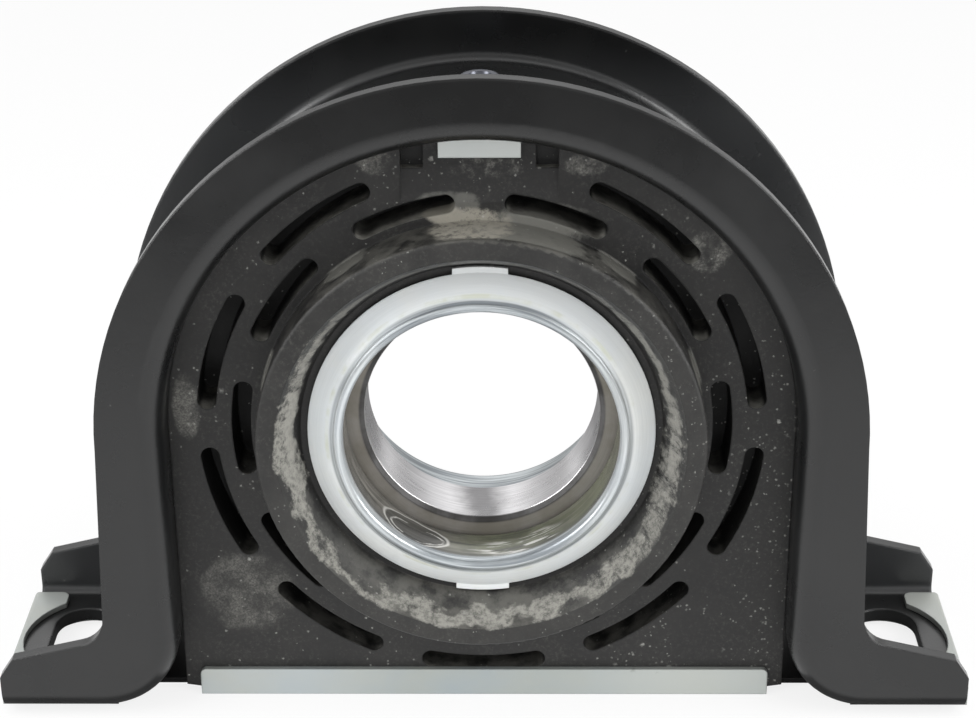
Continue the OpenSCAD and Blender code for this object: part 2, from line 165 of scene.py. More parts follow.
# coordinates that run round the shaft, so that noise on them makes streaks
def aroundShaft(tree, vector, sweep, fine, slant=0.7, least=0.0001):
    x, y, z = axes(tree, vector)
    radius = shaftRadius(tree, vector)
    safe = higher(tree, radius, least)
    turned = addNode(tree, "ShaderNodeCombineXYZ")
    feed(tree, times(tree, calc(tree, "DIVIDE", x, safe), sweep), turned.inputs[0])
    feed(tree, times(tree, calc(tree, "DIVIDE", z, safe), sweep), turned.inputs[1])
    depth = plus(tree, radius, times(tree, y, slant))
    feed(tree, times(tree, depth, fine), turned.inputs[2])
    return turned.outputs[0]


# a node group with a vector and values going in; gives back its inner ends by name
def startGroup(name, inputs, outputs):
    tree = bpy.data.node_groups.new(name, "ShaderNodeTree")
    tree.interface.new_socket("Vector", in_out="INPUT", socket_type="NodeSocketVector")
    for label, value in inputs.items():
        tree.interface.new_socket(label, in_out="INPUT", socket_type="NodeSocketFloat").default_value = value
    for label in outputs:
        tree.interface.new_socket(label, in_out="OUTPUT", socket_type="NodeSocketFloat")
    return tree, addNode(tree, "NodeGroupInput").outputs, addNode(tree, "NodeGroupOutput").inputs


def useGroup(tree, group, vector, **values):
    node = addNode(tree, "ShaderNodeGroup", node_tree=group)
    feed(tree, vector, node.inputs["Vector"])
    for key, value in values.items():
        feed(tree, value, node.inputs[key])
    return node.outputs


# loose white dust: small ragged specks, in patches
dustLook = {
    "warpScale": 2.2, "warpReach": 0.9, "patchEdge": (0.38, 0.66),
    "leastSize": 0.35, "sizePower": 2.5, "core": 0.1, "strength": (0.3, 0.7),
}


def makeDustSpecks():
    inputs = {"Scale": 400.0, "Density": 0.1, "Size": 0.3, "Patch": 30.0}
    tree, given, result = startGroup("dustSpecks", inputs, ["Mask"])
    place = given["Vector"]
    scale = given["Scale"]
    warpReach = calc(tree, "DIVIDE", dustLook["warpReach"], scale)
    cells = addNode(tree, "ShaderNodeTexVoronoi", feature="F1")
    warpScale = times(tree, scale, dustLook["warpScale"])
    feed(tree, warped(tree, place, warpScale, warpReach), cells.inputs["Vector"])
    feed(tree, scale, cells.inputs["Scale"])
    chance = addNode(tree, "ShaderNodeSeparateColor")
    feed(tree, cells.outputs["Color"], chance.inputs[0])
    patch = ramp(tree, noise(tree, place, given["Patch"]), *dustLook["patchEdge"])
    chosen = calc(tree, "LESS_THAN", chance.outputs[0], times(tree, given["Density"], patch))
    size = plus(tree, dustLook["leastSize"], calc(tree, "POWER", chance.outputs[1], dustLook["sizePower"]))
    reach = times(tree, given["Size"], size)
    spot = inverse(tree, ramp(tree, cells.outputs["Distance"], times(tree, reach, dustLook["core"]), reach))
    least, spread = dustLook["strength"]
    strength = plus(tree, least, times(tree, chance.outputs[2], spread))
    feed(tree, times(tree, chosen, spot, strength), result["Mask"])
    return tree


# fine surface grain of paint, rubber and metal
grainLook = {"fineDetail": 4.0, "cloudDetail": 5.0, "cloudRough": 0.62, "cloudEdge": (0.3, 0.7)}


def makeFineGrain():
    tree, given, result = startGroup("fineGrain", {"Scale": 500.0, "Cloud": 25.0}, ["Height", "Shade"])
    place = given["Vector"]
    large = noise(tree, place, given["Cloud"], grainLook["cloudDetail"], grainLook["cloudRough"])
    feed(tree, noise(tree, place, given["Scale"], grainLook["fineDetail"]), result["Height"])
    feed(tree, ramp(tree, large, *grainLook["cloudEdge"]), result["Shade"])
    return tree


# ragged ring of powder around the shaft axis
bandLook = {
    "frayDetail": 8.0, "frayRough": 0.62, "frayGain": 4.0, "innerEdge": (-0.0003, 0.0005),
    "outerEdge": (-0.0006, 0.0003), "sweep": 16.0, "fine": 700.0,
    "wornNoise": (1.0, 10.0, 0.8), "holes": (0.93, 1.08),
}


def makePowderBand():
    inputs = {"Inner": 0.045, "Outer": 0.051, "Ragged": 0.002, "Scale": 220.0, "Cover": 0.5}
    tree, given, result = startGroup("powderBand", inputs, ["Mask"])
    place = given["Vector"]
    fray = noise(tree, place, given["Scale"], bandLook["frayDetail"], bandLook["frayRough"])
    shift = times(tree, minus(tree, fray, noiseMiddle), given["Ragged"], bandLook["frayGain"])
    frayed = plus(tree, shaftRadius(tree, place), shift)
    inside = ramp(tree, frayed, *[plus(tree, given["Inner"], step) for step in bandLook["innerEdge"]])
    outside = ramp(tree, frayed, *[plus(tree, given["Outer"], step) for step in bandLook["outerEdge"]])
    worn = noise(tree, aroundShaft(tree, place, bandLook["sweep"], bandLook["fine"]), *bandLook["wornNoise"])
    holes = ramp(tree, worn, *[minus(tree, level, given["Cover"]) for level in bandLook["holes"]])
    feed(tree, times(tree, inside, inverse(tree, outside), holes), result["Mask"])
    return tree


# soft ragged smear around one point
smearLook = {"detail": 6.0, "rough": 0.68, "nearEdge": (0.0, 0.6), "edge": (0.3, 0.62)}


def makeSmear():
    inputs = {
        "X": 0.0, "Y": 0.0, "Z": 0.0, "Wide": 0.01, "High": 0.01, "Deep": 0.01,
        "Scale": 150.0, "Cover": 0.5,
    }
    tree, given, result = startGroup("smear", inputs, ["Mask"])
    place = given["Vector"]
    total = 0.0
    for name, size, part in zip("XYZ", ("Wide", "Deep", "High"), axes(tree, place)):
        off = calc(tree, "DIVIDE", minus(tree, part, given[name]), given[size])
        total = plus(tree, total, times(tree, off, off))
    near = calc(tree, "SUBTRACT", 1.0, calc(tree, "SQRT", total), clamp=True)
    ragged = noise(tree, place, given["Scale"], smearLook["detail"], smearLook["rough"])
    cover = plus(tree, ragged, minus(tree, given["Cover"], noiseMiddle))
    level = times(tree, ramp(tree, near, *smearLook["nearEdge"]), cover)
    feed(tree, ramp(tree, level, *smearLook["edge"]), result["Mask"])
    return tree


# rings left by turning and brushing, seen around the shaft axis
linesLook = {"noise": (1.0, 3.0, 0.6), "edge": (0.3, 0.7)}


def makeTurnedLines():
    tree, given, result = startGroup("turnedLines", {"Fine": 2600.0, "Sweep": 3.0}, ["Height", "Shade"])
    turned = aroundShaft(tree, given["Vector"], given["Sweep"], given["Fine"])
    lines = noise(tree, turned, *linesLook["noise"])
    feed(tree, lines, result["Height"])
    feed(tree, ramp(tree, lines, *linesLook["edge"]), result["Shade"])
    return tree


dustSpecks = makeDustSpecks()
fineGrain = makeFineGrain()
powderBand = makePowderBand()
smear = makeSmear()
turnedLines = makeTurnedLines()
print("surface groups made")


def startMaterial(name, **sockets):
    material = bpy.data.materials.new(name)
    material.use_nodes = True
    tree = material.node_tree
    shader = tree.nodes["Principled BSDF"]
    for key, value in sockets.items():
        shader.inputs[key.replace("_", " ")].default_value = value
    place = addNode(tree, "ShaderNodeTexCoord").outputs["Object"]
    return material, tree, shader, place


# the look dictionaries give a bump's strength, its distance and the radius that softens sharp edges
def addBump(tree, shader, height, strength, distance, edge=0.0):
    bump = addNode(tree, "ShaderNodeBump", {"Strength": strength, "Distance": distance})
    feed(tree, height, bump.inputs["Height"])
    if edge:
        rounded = addNode(tree, "ShaderNodeBevel", {"Radius": edge}, samples=bevelSamples)
        feed(tree, rounded.outputs[0], bump.inputs["Normal"])
    feed(tree, bump.outputs[0], shader.inputs["Normal"])


def facing(tree):
    return axes(tree, addNode(tree, "ShaderNodeNewGeometry").outputs["Normal"])


def upFacing(tree, low, high):
    return ramp(tree, facing(tree)[2], low, high)


# satin black paint of the bracket, with painted shade making it darker over the top and painted light making
# it paler inside the rear flange
paintLook = {
    "dark": (0.0052, 0.0054, 0.0057), "light": (0.0088, 0.0091, 0.0092), "dust": (0.2, 0.2, 0.19),
    "top": (0.0018, 0.0019, 0.002), "paintTopShadeRise": (0.07, 0.092),
    "rear": (0.024, 0.025, 0.026), "rearTurn": (-0.3, -0.8),
    "rearDepth": (0.018, 0.025), "rearRise": (0.09, 0.06),
    "grain": {"Scale": 900.0, "Cloud": 28.0},
    "specks": {"Scale": 520.0, "Density": 0.03, "Size": 0.3, "Patch": 22.0}, "speckMix": 0.35,
    "specular": 0.62, "rough": (0.24, 0.33), "bump": (0.12, 0.00025, 0.001),
}


def makeBlackPaint():
    look = paintLook
    material, tree, shader, place = startMaterial("blackPaint", Specular_IOR_Level=look["specular"])
    y, z = axes(tree, place)[1:]
    grain = useGroup(tree, fineGrain, place, **look["grain"])
    specks = useGroup(tree, dustSpecks, place, **look["specks"])
    color = mixColor(tree, grain["Shade"], look["dark"], look["light"])
    # painted shade: darker over the top of the bracket
    color = mixColor(tree, ramp(tree, z, *look["paintTopShadeRise"]), color, look["top"])
    # painted light: paler on the forward-facing inner face of the rear flange
    forward = ramp(tree, facing(tree)[1], *look["rearTurn"])
    rearPaintedLight = times(tree, forward, ramp(tree, y, *look["rearDepth"]), ramp(tree, z, *look["rearRise"]))
    color = mixColor(tree, rearPaintedLight, color, look["rear"])
    color = mixColor(tree, times(tree, specks["Mask"], look["speckMix"]), color, look["dust"])
    feed(tree, color, shader.inputs["Base Color"])
    feed(tree, mixValue(tree, grain["Shade"], *look["rough"]), shader.inputs["Roughness"])
    addBump(tree, shader, grain["Height"], *look["bump"])
    return material


# black rubber of the cushion, with release powder, dust and scuffs
rubberLook = {
    "dark": (0.0092, 0.009, 0.0089), "light": (0.0192, 0.0187, 0.018), "shade": (0.004, 0.004, 0.004),
    "powder": (0.27, 0.265, 0.238), "dust": (0.42, 0.42, 0.39), "deposit": (0.285, 0.27, 0.228),
    "film": (0.12, 0.117, 0.104), "greyFilm": (0.165, 0.163, 0.146), "grain": {"Scale": 700.0, "Cloud": 60.0},
    "specular": 0.45, "rough": (0.46, 0.6), "chalkRough": 0.9, "chalkHeight": 1.2,
    "bump": (0.35, 0.0003, 0.0007),
}

# settled dust: a thin haze over the faces, more on what faces up and at the slots' lower ends; and painted
# shade, darker inside the slots
dustAndSlotShadeLook = {
    "hazeGrain": {"noise": (1100.0, 6.0, 0.75), "ramp": (0.48, 0.72)},
    "hazePatch": {"noise": (70.0, 4.0, 0.6), "ramp": (0.35, 0.65, 0.08, 0.3)},
    "slotPaintedShade": (0.0166, 0.0125, 0.0, 0.85),
    "upTurn": (0.35, 0.9), "upPatch": {"noise": (150.0, 6.0, 0.65), "ramp": (0.36, 0.62)}, "upMix": 0.6,
    "endTurn": (0.5, 0.9), "endRadius": (0.0575, 0.0585),
    "endRise": (-0.01, 0.01), "endDepth": (0.01, 0.0155),
    "endPatch": {"noise": (220.0, 5.0, 0.65), "ramp": (0.36, 0.6, 0.3, 0.95)},
}


def addDustAndSlotShade(tree, place, color):
    look = dustAndSlotShadeLook
    y, z = axes(tree, place)[1:]
    depth = absolute(tree, y)
    haze = times(tree, cloud(tree, place, look["hazeGrain"]), cloud(tree, place, look["hazePatch"]))
    color = mixColor(tree, haze, color, rubberLook["film"])
    # painted shade: darker inside the slots, deeper than the faces
    color = mixColor(tree, ramp(tree, depth, *look["slotPaintedShade"]), color, rubberLook["shade"])
    settled = times(tree, upFacing(tree, *look["upTurn"]), cloud(tree, place, look["upPatch"]), look["upMix"])
    color = mixColor(tree, settled, color, rubberLook["film"])
    outward = ramp(tree, shaftRadius(tree, place), *look["endRadius"])
    slotEnd = times(tree, upFacing(tree, *look["endTurn"]), outward, ramp(tree, z, *look["endRise"]))
    slotEnd = times(tree, slotEnd, ramp(tree, depth, *look["endDepth"]), cloud(tree, place, look["endPatch"]))
    return mixColor(tree, slotEnd, color, rubberLook["powder"])


# powdery marks on the cushion's face: lower left smudge, scuff beside the leg, flecks around the clip
faceMarkLook = {
    "grain": {"noise": (1900.0, 5.0, 0.75), "ramp": (0.36, 0.66, 0.25, 1.0)},
    "clumps": {"noise": (160.0, 6.0, 0.7), "ramp": (0.36, 0.62, 0.2, 1.0)},
    "faceY": -0.017,
    "marks": [
        {"mix": 0.45, "at": (-0.0615, -0.0475), "size": (0.02, 0.0175, 0.012), "Scale": 210.0, "Cover": 0.64},
        {"mix": 0.55, "at": (-0.0742, 0.006), "size": (0.0055, 0.014, 0.01), "Scale": 420.0, "Cover": 0.6},
        {"mix": 0.7, "at": (0.002, 0.0688), "size": (0.017, 0.0055, 0.01), "Scale": 420.0, "Cover": 0.38},
        {"mix": 0.7, "at": (0.0255, 0.0702), "size": (0.009, 0.005, 0.01), "Scale": 420.0, "Cover": 0.5},
        {"mix": 0.7, "at": (0.0555, 0.0475), "size": (0.009, 0.009, 0.01), "Scale": 380.0, "Cover": 0.48},
        {"mix": 0.7, "at": (-0.0252, 0.0715), "size": (0.007, 0.007, 0.01), "Scale": 380.0, "Cover": 0.5},
    ],
}


# mask of one smear: where it is, its width, height and depth, and how ragged and full it is
def addSmear(tree, place, at, size, **ragged):
    centre = dict(zip("XYZ", at))
    reach = dict(zip(("Wide", "High", "Deep"), size))
    return useGroup(tree, smear, place, **centre, **reach, **ragged)["Mask"]


def addFaceMarks(tree, place, color):
    look = faceMarkLook
    grains = times(tree, cloud(tree, place, look["grain"]), cloud(tree, place, look["clumps"]))
    for mark in look["marks"]:
        x, z = mark["at"]
        ragged = {key: mark[key] for key in ("Scale", "Cover")}
        marked = addSmear(tree, place, (x, look["faceY"], z), mark["size"], **ragged)
        color = mixColor(tree, times(tree, marked, grains, mark["mix"]), color, rubberLook["powder"])
    return color


# films and dust on top of the hub, between its front end and the cushion's face; the grey patches on the
# hub's left and right sides also stand as painted highlight
hubLook = {
    "frontEnd": (-0.0292, -0.0284), "outerEdge": (0.0566, 0.056), "patchMix": 0.8,
    "patches": [
        {"at": (-0.033, -0.0195, 0.045), "size": (0.011, 0.009, 0.008), "Scale": 300.0, "Cover": 0.66},
        {"at": (0.0335, -0.0195, 0.0445), "size": (0.011, 0.009, 0.008), "Scale": 300.0, "Cover": 0.66},
        # grey film on the hub's left and right sides, also a painted highlight along them
        {"at": (-0.0535, -0.021, 0.0165), "size": (0.006, 0.012, 0.01), "Scale": 300.0, "Cover": 0.7},
        {"at": (0.0535, -0.021, 0.0175), "size": (0.006, 0.011, 0.01), "Scale": 300.0, "Cover": 0.68},
    ],
    "film": {"at": (0.0145, -0.0225, 0.0545), "size": (0.025, 0.011, 0.0135), "Scale": 300.0, "Cover": 0.68},
    "filmMix": 0.85,
    "slotDust": {
        "at": (-0.009, -0.0145, 0.0576), "size": (0.0085, 0.005, 0.006), "Scale": 300.0, "Cover": 0.75,
    },
    "slotDustMix": 0.9,
    "streak": {
        "at": (-0.0075, -0.017, 0.0605), "size": (0.0135, 0.0042, 0.006), "Scale": 260.0, "Cover": 0.62,
    },
    "streakEnd": (0.0008, 0.0002), "streakMix": 0.55,
    "deposit": {
        "at": (-0.0022, -0.0215, 0.0558), "size": (0.0165, 0.0062, 0.0135), "Scale": 260.0, "Cover": 0.62,
    },
    "grit": {"noise": (520.0, 6.0, 0.72), "ramp": (0.33, 0.55, 0.3, 1.0)},
}


def addHubFilm(tree, place, color):
    look = hubLook
    x, y = axes(tree, place)[:2]
    behindEnd = ramp(tree, y, *look["frontEnd"])
    onHub = times(tree, behindEnd, ramp(tree, shaftRadius(tree, place), *look["outerEdge"]))
    for spot in look["patches"]:
        patch = times(tree, addSmear(tree, place, **spot), onHub, look["patchMix"])
        color = mixColor(tree, patch, color, rubberLook["greyFilm"])
    film = times(tree, addSmear(tree, place, **look["film"]), behindEnd, look["filmMix"])
    color = mixColor(tree, film, color, rubberLook["greyFilm"])
    slotDust = times(tree, addSmear(tree, place, **look["slotDust"]), look["slotDustMix"])
    color = mixColor(tree, slotDust, color, rubberLook["deposit"])
    streak = times(tree, addSmear(tree, place, **look["streak"]), ramp(tree, x, *look["streakEnd"]))
    return mixColor(tree, times(tree, streak, look["streakMix"]), color, rubberLook["greyFilm"])


# release powder in the mouth of the hub: thick below and on the left, thin along the rim above
powderLook = {
    "endDepth": (0.0285, 0.0298), "endRise": (0.01, -0.035, 0.06, 0.1),
    "endPatch": {"noise": (120.0, 5.0, 0.6), "ramp": (0.3, 0.7, 0.55, 1.0)},
    "rim": {"Inner": 0.0469, "Outer": 0.0492, "Ragged": 0.0013, "Scale": 150.0, "Cover": 0.58},
    "rimAbove": (0.045, 0.025, 0.25, 0.6), "rimBelow": (-0.022, -0.002, 0.08, 1.0),
    "cover": 0.34, "coverBelow": (0.034, -0.012, 0.0, 0.22), "coverBottom": (-0.03, -0.044, 0.0, 0.08),
    "coverLeft": (-0.022, -0.042, 0.0, 0.13), "coverRight": (0.032, 0.045, 0.0, -0.02),
    "inner": 0.0468, "bottomThin": (-0.02, -0.04, 0.0, 0.0016),
    "cornerLeft": (-0.006, -0.022), "cornerBelow": (-0.012, -0.028), "cornerThin": 0.0024,
    "wideRight": (0.03, 0.045), "wideAbove": (-0.025, -0.01, 0.0, 0.0008),
    "outer": (0.0, 0.03, 0.0507, 0.0501), "band": {"Ragged": 0.0023, "Scale": 95.0},
    "grain": {"noise": (650.0, 6.0, 0.78), "ramp": (0.36, 0.58, 0.25, 1.0)},
    "bandMix": (0.034, 0.045, 0.95, 0.75),
}


def addHubPowder(tree, place, color):
    look = powderLook
    x, y, z = axes(tree, place)
    # flat end of the hub, greyed by handling
    hubEnd = times(tree, ramp(tree, absolute(tree, y), *look["endDepth"]), ramp(tree, z, *look["endRise"]))
    hubEnd = times(tree, hubEnd, cloud(tree, place, look["endPatch"]))
    color = mixColor(tree, hubEnd, color, rubberLook["film"])
    # thin powder along the rim
    rimStrength = times(tree, ramp(tree, z, *look["rimAbove"]), ramp(tree, z, *look["rimBelow"]))
    rim = times(tree, useGroup(tree, powderBand, place, **look["rim"])["Mask"], rimStrength)
    color = mixColor(tree, rim, color, rubberLook["powder"])
    # thick powder
    lowCover = plus(tree, ramp(tree, z, *look["coverBelow"]), ramp(tree, z, *look["coverBottom"]))
    sideCover = plus(tree, ramp(tree, x, *look["coverLeft"]), ramp(tree, x, *look["coverRight"]))
    corner = times(tree, ramp(tree, x, *look["cornerLeft"]), ramp(tree, z, *look["cornerBelow"]))
    thinner = higher(tree, times(tree, corner, look["cornerThin"]), ramp(tree, z, *look["bottomThin"]))
    wider = times(tree, ramp(tree, x, *look["wideRight"]), ramp(tree, z, *look["wideAbove"]))
    inner = plus(tree, look["inner"], minus(tree, thinner, wider))
    outer = ramp(tree, x, *look["outer"])
    cover = plus(tree, look["cover"], lowCover, sideCover)
    band = useGroup(tree, powderBand, place, Inner=inner, Outer=outer, Cover=cover, **look["band"])["Mask"]
    powdered = times(tree, band, cloud(tree, place, look["grain"]))
    shown = times(tree, powdered, ramp(tree, x, *look["bandMix"]))
    color = mixColor(tree, shown, color, rubberLook["powder"])
    # pale deposit on top of the hub
    deposit = times(tree, addSmear(tree, place, **hubLook["deposit"]), ramp(tree, y, *hubLook["frontEnd"]))
    deposit = times(tree, deposit, cloud(tree, place, hubLook["grit"]))
    return mixColor(tree, deposit, color, rubberLook["deposit"]), higher(tree, powdered, deposit)


# loose specks and fine grains: most on the lower right and around the clip
speckLook = {
    "right": (0.01, 0.055), "rightRise": (0.05, -0.03, 0.25, 1.0),
    "clipRise": (0.058, 0.068), "clipReach": (0.036, 0.022),
    "kinds": [
        {"density": (0.035, 0.14), "mix": 0.85, "specks": {"Scale": 430.0, "Size": 0.38, "Patch": 34.0}},
        {"density": (0.12, 0.42), "mix": 0.6, "specks": {"Scale": 1300.0, "Size": 0.5, "Patch": 60.0}},
    ],
}


def addLooseSpecks(tree, place, color):
    look = speckLook
    x, z = axes(tree, place)[::2]
    right = times(tree, ramp(tree, x, *look["right"]), ramp(tree, z, *look["rightRise"]))
    nearClip = ramp(tree, absolute(tree, x), *look["clipReach"])
    clipArea = times(tree, ramp(tree, z, *look["clipRise"]), nearClip)
    crowd = higher(tree, right, clipArea)
    dusty = 0.0
    for kind in look["kinds"]:
        density = mixValue(tree, crowd, *kind["density"])
        specks = useGroup(tree, dustSpecks, place, Density=density, **kind["specks"])
        dusty = higher(tree, dusty, times(tree, specks["Mask"], kind["mix"]))
    return mixColor(tree, dusty, color, rubberLook["dust"])


def makeCushionRubber():
    look = rubberLook
    material, tree, shader, place = startMaterial("cushionRubber", Specular_IOR_Level=look["specular"])
    grain = useGroup(tree, fineGrain, place, **look["grain"])
    color = mixColor(tree, grain["Shade"], look["dark"], look["light"])
    color = addDustAndSlotShade(tree, place, color)
    color = addFaceMarks(tree, place, color)
    color = addHubFilm(tree, place, color)
    color, chalk = addHubPowder(tree, place, color)
    color = addLooseSpecks(tree, place, color)
    feed(tree, color, shader.inputs["Base Color"])
    rough = mixValue(tree, grain["Shade"], *look["rough"])
    feed(tree, mixValue(tree, chalk, rough, look["chalkRough"]), shader.inputs["Roughness"])
    height = plus(tree, grain["Height"], times(tree, chalk, look["chalkHeight"]))
    addBump(tree, shader, height, *look["bump"])
    return material


# oil inside the front shield's collar: brown on the left, olive on the right, with a drop that has run down;
# painted shade, reflection, highlights and glints on it
oilLook = {
    "front": (0.001, -0.001), "collar": (0.0352, 0.0357), "mouth": (0.0208, 0.0222),
    # the edge colour is the white of the painted highlights and glints
    "olive": (0.2, 0.212, 0.135), "brown": (0.215, 0.2, 0.178), "edge": (0.8, 0.79, 0.75),
    # the deep colour darkens the oil and also serves as painted shade
    "deep": (0.04, 0.038, 0.031), "pale": (0.42, 0.4, 0.36), "oliveSide": (-0.016, 0.004),
    "swirlScale": 60.0, "swirlReach": 0.02, "swirlNoise": (140.0, 4.0), "swirlDeep": (0.35, 0.7, 0.0, 0.5),
    "ribbonSweep": 1.1, "ribbonFine": 620.0, "ribbonNoise": (1.0, 4.0, 0.62),
    "ribbonDeep": (0.47, 0.34, 0.0, 0.75),
    "ribbonPale": (0.54, 0.66), "paleSide": (0.012, -0.012, 0.25, 0.75),
    "lipPaintedShade": (-0.0175, -0.0215, 0.0, 0.8),
    "waveScale": 150.0,
    "drop": {"centre": (-0.0182, -0.0165, -0.0295), "reach": (0.0104, 0.0053, 0.0078), "wave": 0.0022},
    "dropThick": 0.085, "dropMix": 0.75,
    "ripple": {"centre": (-0.0175, -0.0172, -0.0299), "reach": (0.0082, 0.0034, 0.0062), "wave": 0.0026},
    "rippleThick": 0.09, "rippleBreaks": {"noise": (260.0,), "ramp": (0.42, 0.6)},
    "light": {"centre": (0.0115, -0.0172, -0.0335), "reach": (0.0125, 0.0042, 0.007), "wave": 0.004},
    "glintThick": 0.35,
    "strokeStretch": (90.0, 850.0, 90.0), "glintStrokes": {"noise": (1.0, 3.0, 0.6), "ramp": (0.52, 0.61)},
    "highlightMix": 0.9, "mix": 0.92, "rimHeight": 3.0, "metallic": 0.35, "rough": 0.2,
}


# wavy distance from a point on the collar, 1 at the edge of a film of oil
def filmDistance(tree, place, centre, reach, wave):
    away = calcVector(tree, "SUBTRACT", warped(tree, place, oilLook["waveScale"], wave), centre)
    length = addNode(tree, "ShaderNodeVectorMath", operation="LENGTH")
    feed(tree, calcVector(tree, "DIVIDE", away, reach), length.inputs[0])
    return length.outputs["Value"]


def filmEdge(tree, distance, thick):
    return ramp(tree, absolute(tree, minus(tree, distance, 1.0)), thick, 0.0)


def filmInside(tree, distance, thick):
    return ramp(tree, distance, 1.0 + thick, 1.0 - thick)


# where the oil is, its colour and its height
def addOil(tree, place):
    look = oilLook
    x, y = axes(tree, place)[:2]
    collar = inverse(tree, ramp(tree, shaftRadius(tree, place), *look["collar"]))
    mouth = inverse(tree, ramp(tree, times(tree, y, -1.0), *look["mouth"]))
    oiled = times(tree, collar, ramp(tree, y, *look["front"]), mouth)
    shade = mixColor(tree, ramp(tree, x, *look["oliveSide"]), look["brown"], look["olive"])
    swirl = noise(tree, warped(tree, place, look["swirlScale"], look["swirlReach"]), *look["swirlNoise"])
    shade = mixColor(tree, ramp(tree, swirl, *look["swirlDeep"]), shade, look["deep"])
    # streaks round the shaft: partly streaks in the oil, partly painted reflection and painted shade
    turned = aroundShaft(tree, place, look["ribbonSweep"], look["ribbonFine"])
    ribbons = noise(tree, turned, *look["ribbonNoise"])
    shade = mixColor(tree, ramp(tree, ribbons, *look["ribbonDeep"]), shade, look["deep"])
    pale = times(tree, ramp(tree, ribbons, *look["ribbonPale"]), ramp(tree, x, *look["paleSide"]))
    shade = mixColor(tree, pale, shade, look["pale"])
    # painted shade: darker towards the front, under the lip
    shade = mixColor(tree, ramp(tree, y, *look["lipPaintedShade"]), shade, look["deep"])
    # the drop, with painted highlights on its rim and on a broken ripple inside it
    dropDistance = filmDistance(tree, place, **look["drop"])
    ripple = filmEdge(tree, filmDistance(tree, place, **look["ripple"]), look["rippleThick"])
    ripple = times(tree, ripple, cloud(tree, place, look["rippleBreaks"]))
    rim = higher(tree, filmEdge(tree, dropDistance, look["dropThick"]), ripple)
    inDrop = filmInside(tree, dropDistance, look["dropThick"])
    shade = mixColor(tree, times(tree, inDrop, look["dropMix"]), shade, look["deep"])
    shade = mixColor(tree, times(tree, rim, look["highlightMix"]), shade, look["edge"])
    # painted glints: white strokes of reflected light, right of the middle
    light = filmInside(tree, filmDistance(tree, place, **look["light"]), look["glintThick"])
    glintStrokes = cloud(tree, calcVector(tree, "MULTIPLY", place, look["strokeStretch"]), look["glintStrokes"])
    shade = mixColor(tree, times(tree, light, glintStrokes, look["highlightMix"]), shade, look["edge"])
    height = times(tree, oiled, plus(tree, times(tree, rim, look["rimHeight"]), swirl))
    return oiled, shade, height


# pale zinc of the dust shields, with painted shade darkening it towards the top, and darker at the outer edge
shieldLook = {
    "cool": (0.83, 0.875, 0.9), "warm": (0.86, 0.88, 0.86), "line": (0.38, 0.41, 0.44),
    "stain": (0.5, 0.52, 0.3),
    # the dull tone is laid on as painted shade towards the top, and at the outer edge
    "lipDark": (0.17, 0.195, 0.22), "lipLight": (0.56, 0.6, 0.62), "dull": (0.55, 0.56, 0.555),
    "lines": {"Fine": 2600.0, "Sweep": 2.5}, "lineMix": 0.1, "grain": {"Scale": 700.0, "Cloud": 38.0},
    "shieldShadeSlant": 0.25, "shieldTopShade": (0.022, 0.05, 0.0, 0.6), "darkerEdge": (0.0449, 0.0452, 0.0, 0.5),
    "foldRadius": 0.0386, "foldReach": (0.0002, 0.0008), "stainMix": 0.4,
    "blotch": {"noise": (110.0, 5.0), "ramp": (0.45, 0.7)},
    "lipRadius": (0.0374, 0.0384), "lipSweep": 1.2, "lipFine": 1300.0, "lipNoise": (1.0, 3.0, 0.55),
    "lipLines": (0.38, 0.62), "lipMix": (0.015, 0.033, 0.85, 0.55),
    "metallic": 0.16, "lipMetallic": 0.6, "rough": (0.3, 0.4), "lipRough": 0.3,
    "bump": (0.08, 0.0003, 0.0004),
}


def makeShieldZinc():
    look = shieldLook
    material, tree, shader, place = startMaterial("shieldZinc")
    x, z = axes(tree, place)[::2]
    radius = shaftRadius(tree, place)
    lines = useGroup(tree, turnedLines, place, **look["lines"])
    grain = useGroup(tree, fineGrain, place, **look["grain"])
    color = mixColor(tree, grain["Shade"], look["cool"], look["warm"])
    color = mixColor(tree, times(tree, lines["Shade"], look["lineMix"]), color, look["line"])
    # painted shade: darker towards the top, more on the right
    slanted = plus(tree, z, times(tree, x, look["shieldShadeSlant"]))
    color = mixColor(tree, ramp(tree, slanted, *look["shieldTopShade"]), color, look["dull"])
    # darker at the outer edge
    color = mixColor(tree, ramp(tree, radius, *look["darkerEdge"]), color, look["dull"])
    # yellow-green stain along the fold
    fromFold = absolute(tree, minus(tree, radius, look["foldRadius"]))
    fold = inverse(tree, ramp(tree, fromFold, *look["foldReach"]))
    stain = times(tree, fold, cloud(tree, place, look["blotch"]), look["stainMix"])
    color = mixColor(tree, stain, color, look["stain"])
    # rolled lip: fine bright and dark lines
    lip = inverse(tree, ramp(tree, radius, *look["lipRadius"]))
    lipNoise = noise(tree, aroundShaft(tree, place, look["lipSweep"], look["lipFine"]), *look["lipNoise"])
    lipShade = mixColor(tree, ramp(tree, lipNoise, *look["lipLines"]), look["lipDark"], look["lipLight"])
    lipMix = times(tree, lip, ramp(tree, absolute(tree, x), *look["lipMix"]))
    color = mixColor(tree, lipMix, color, lipShade)
    oiled, oilShade, oilHeight = addOil(tree, place)
    color = mixColor(tree, times(tree, oiled, oilLook["mix"]), color, oilShade)
    feed(tree, color, shader.inputs["Base Color"])
    metallic = mixValue(tree, lip, look["metallic"], look["lipMetallic"])
    feed(tree, mixValue(tree, oiled, metallic, oilLook["metallic"]), shader.inputs["Metallic"])
    rough = mixValue(tree, lip, mixValue(tree, grain["Shade"], *look["rough"]), look["lipRough"])
    feed(tree, mixValue(tree, oiled, rough, oilLook["rough"]), shader.inputs["Roughness"])
    addBump(tree, shader, plus(tree, lines["Height"], oilHeight), *look["bump"])
    return material


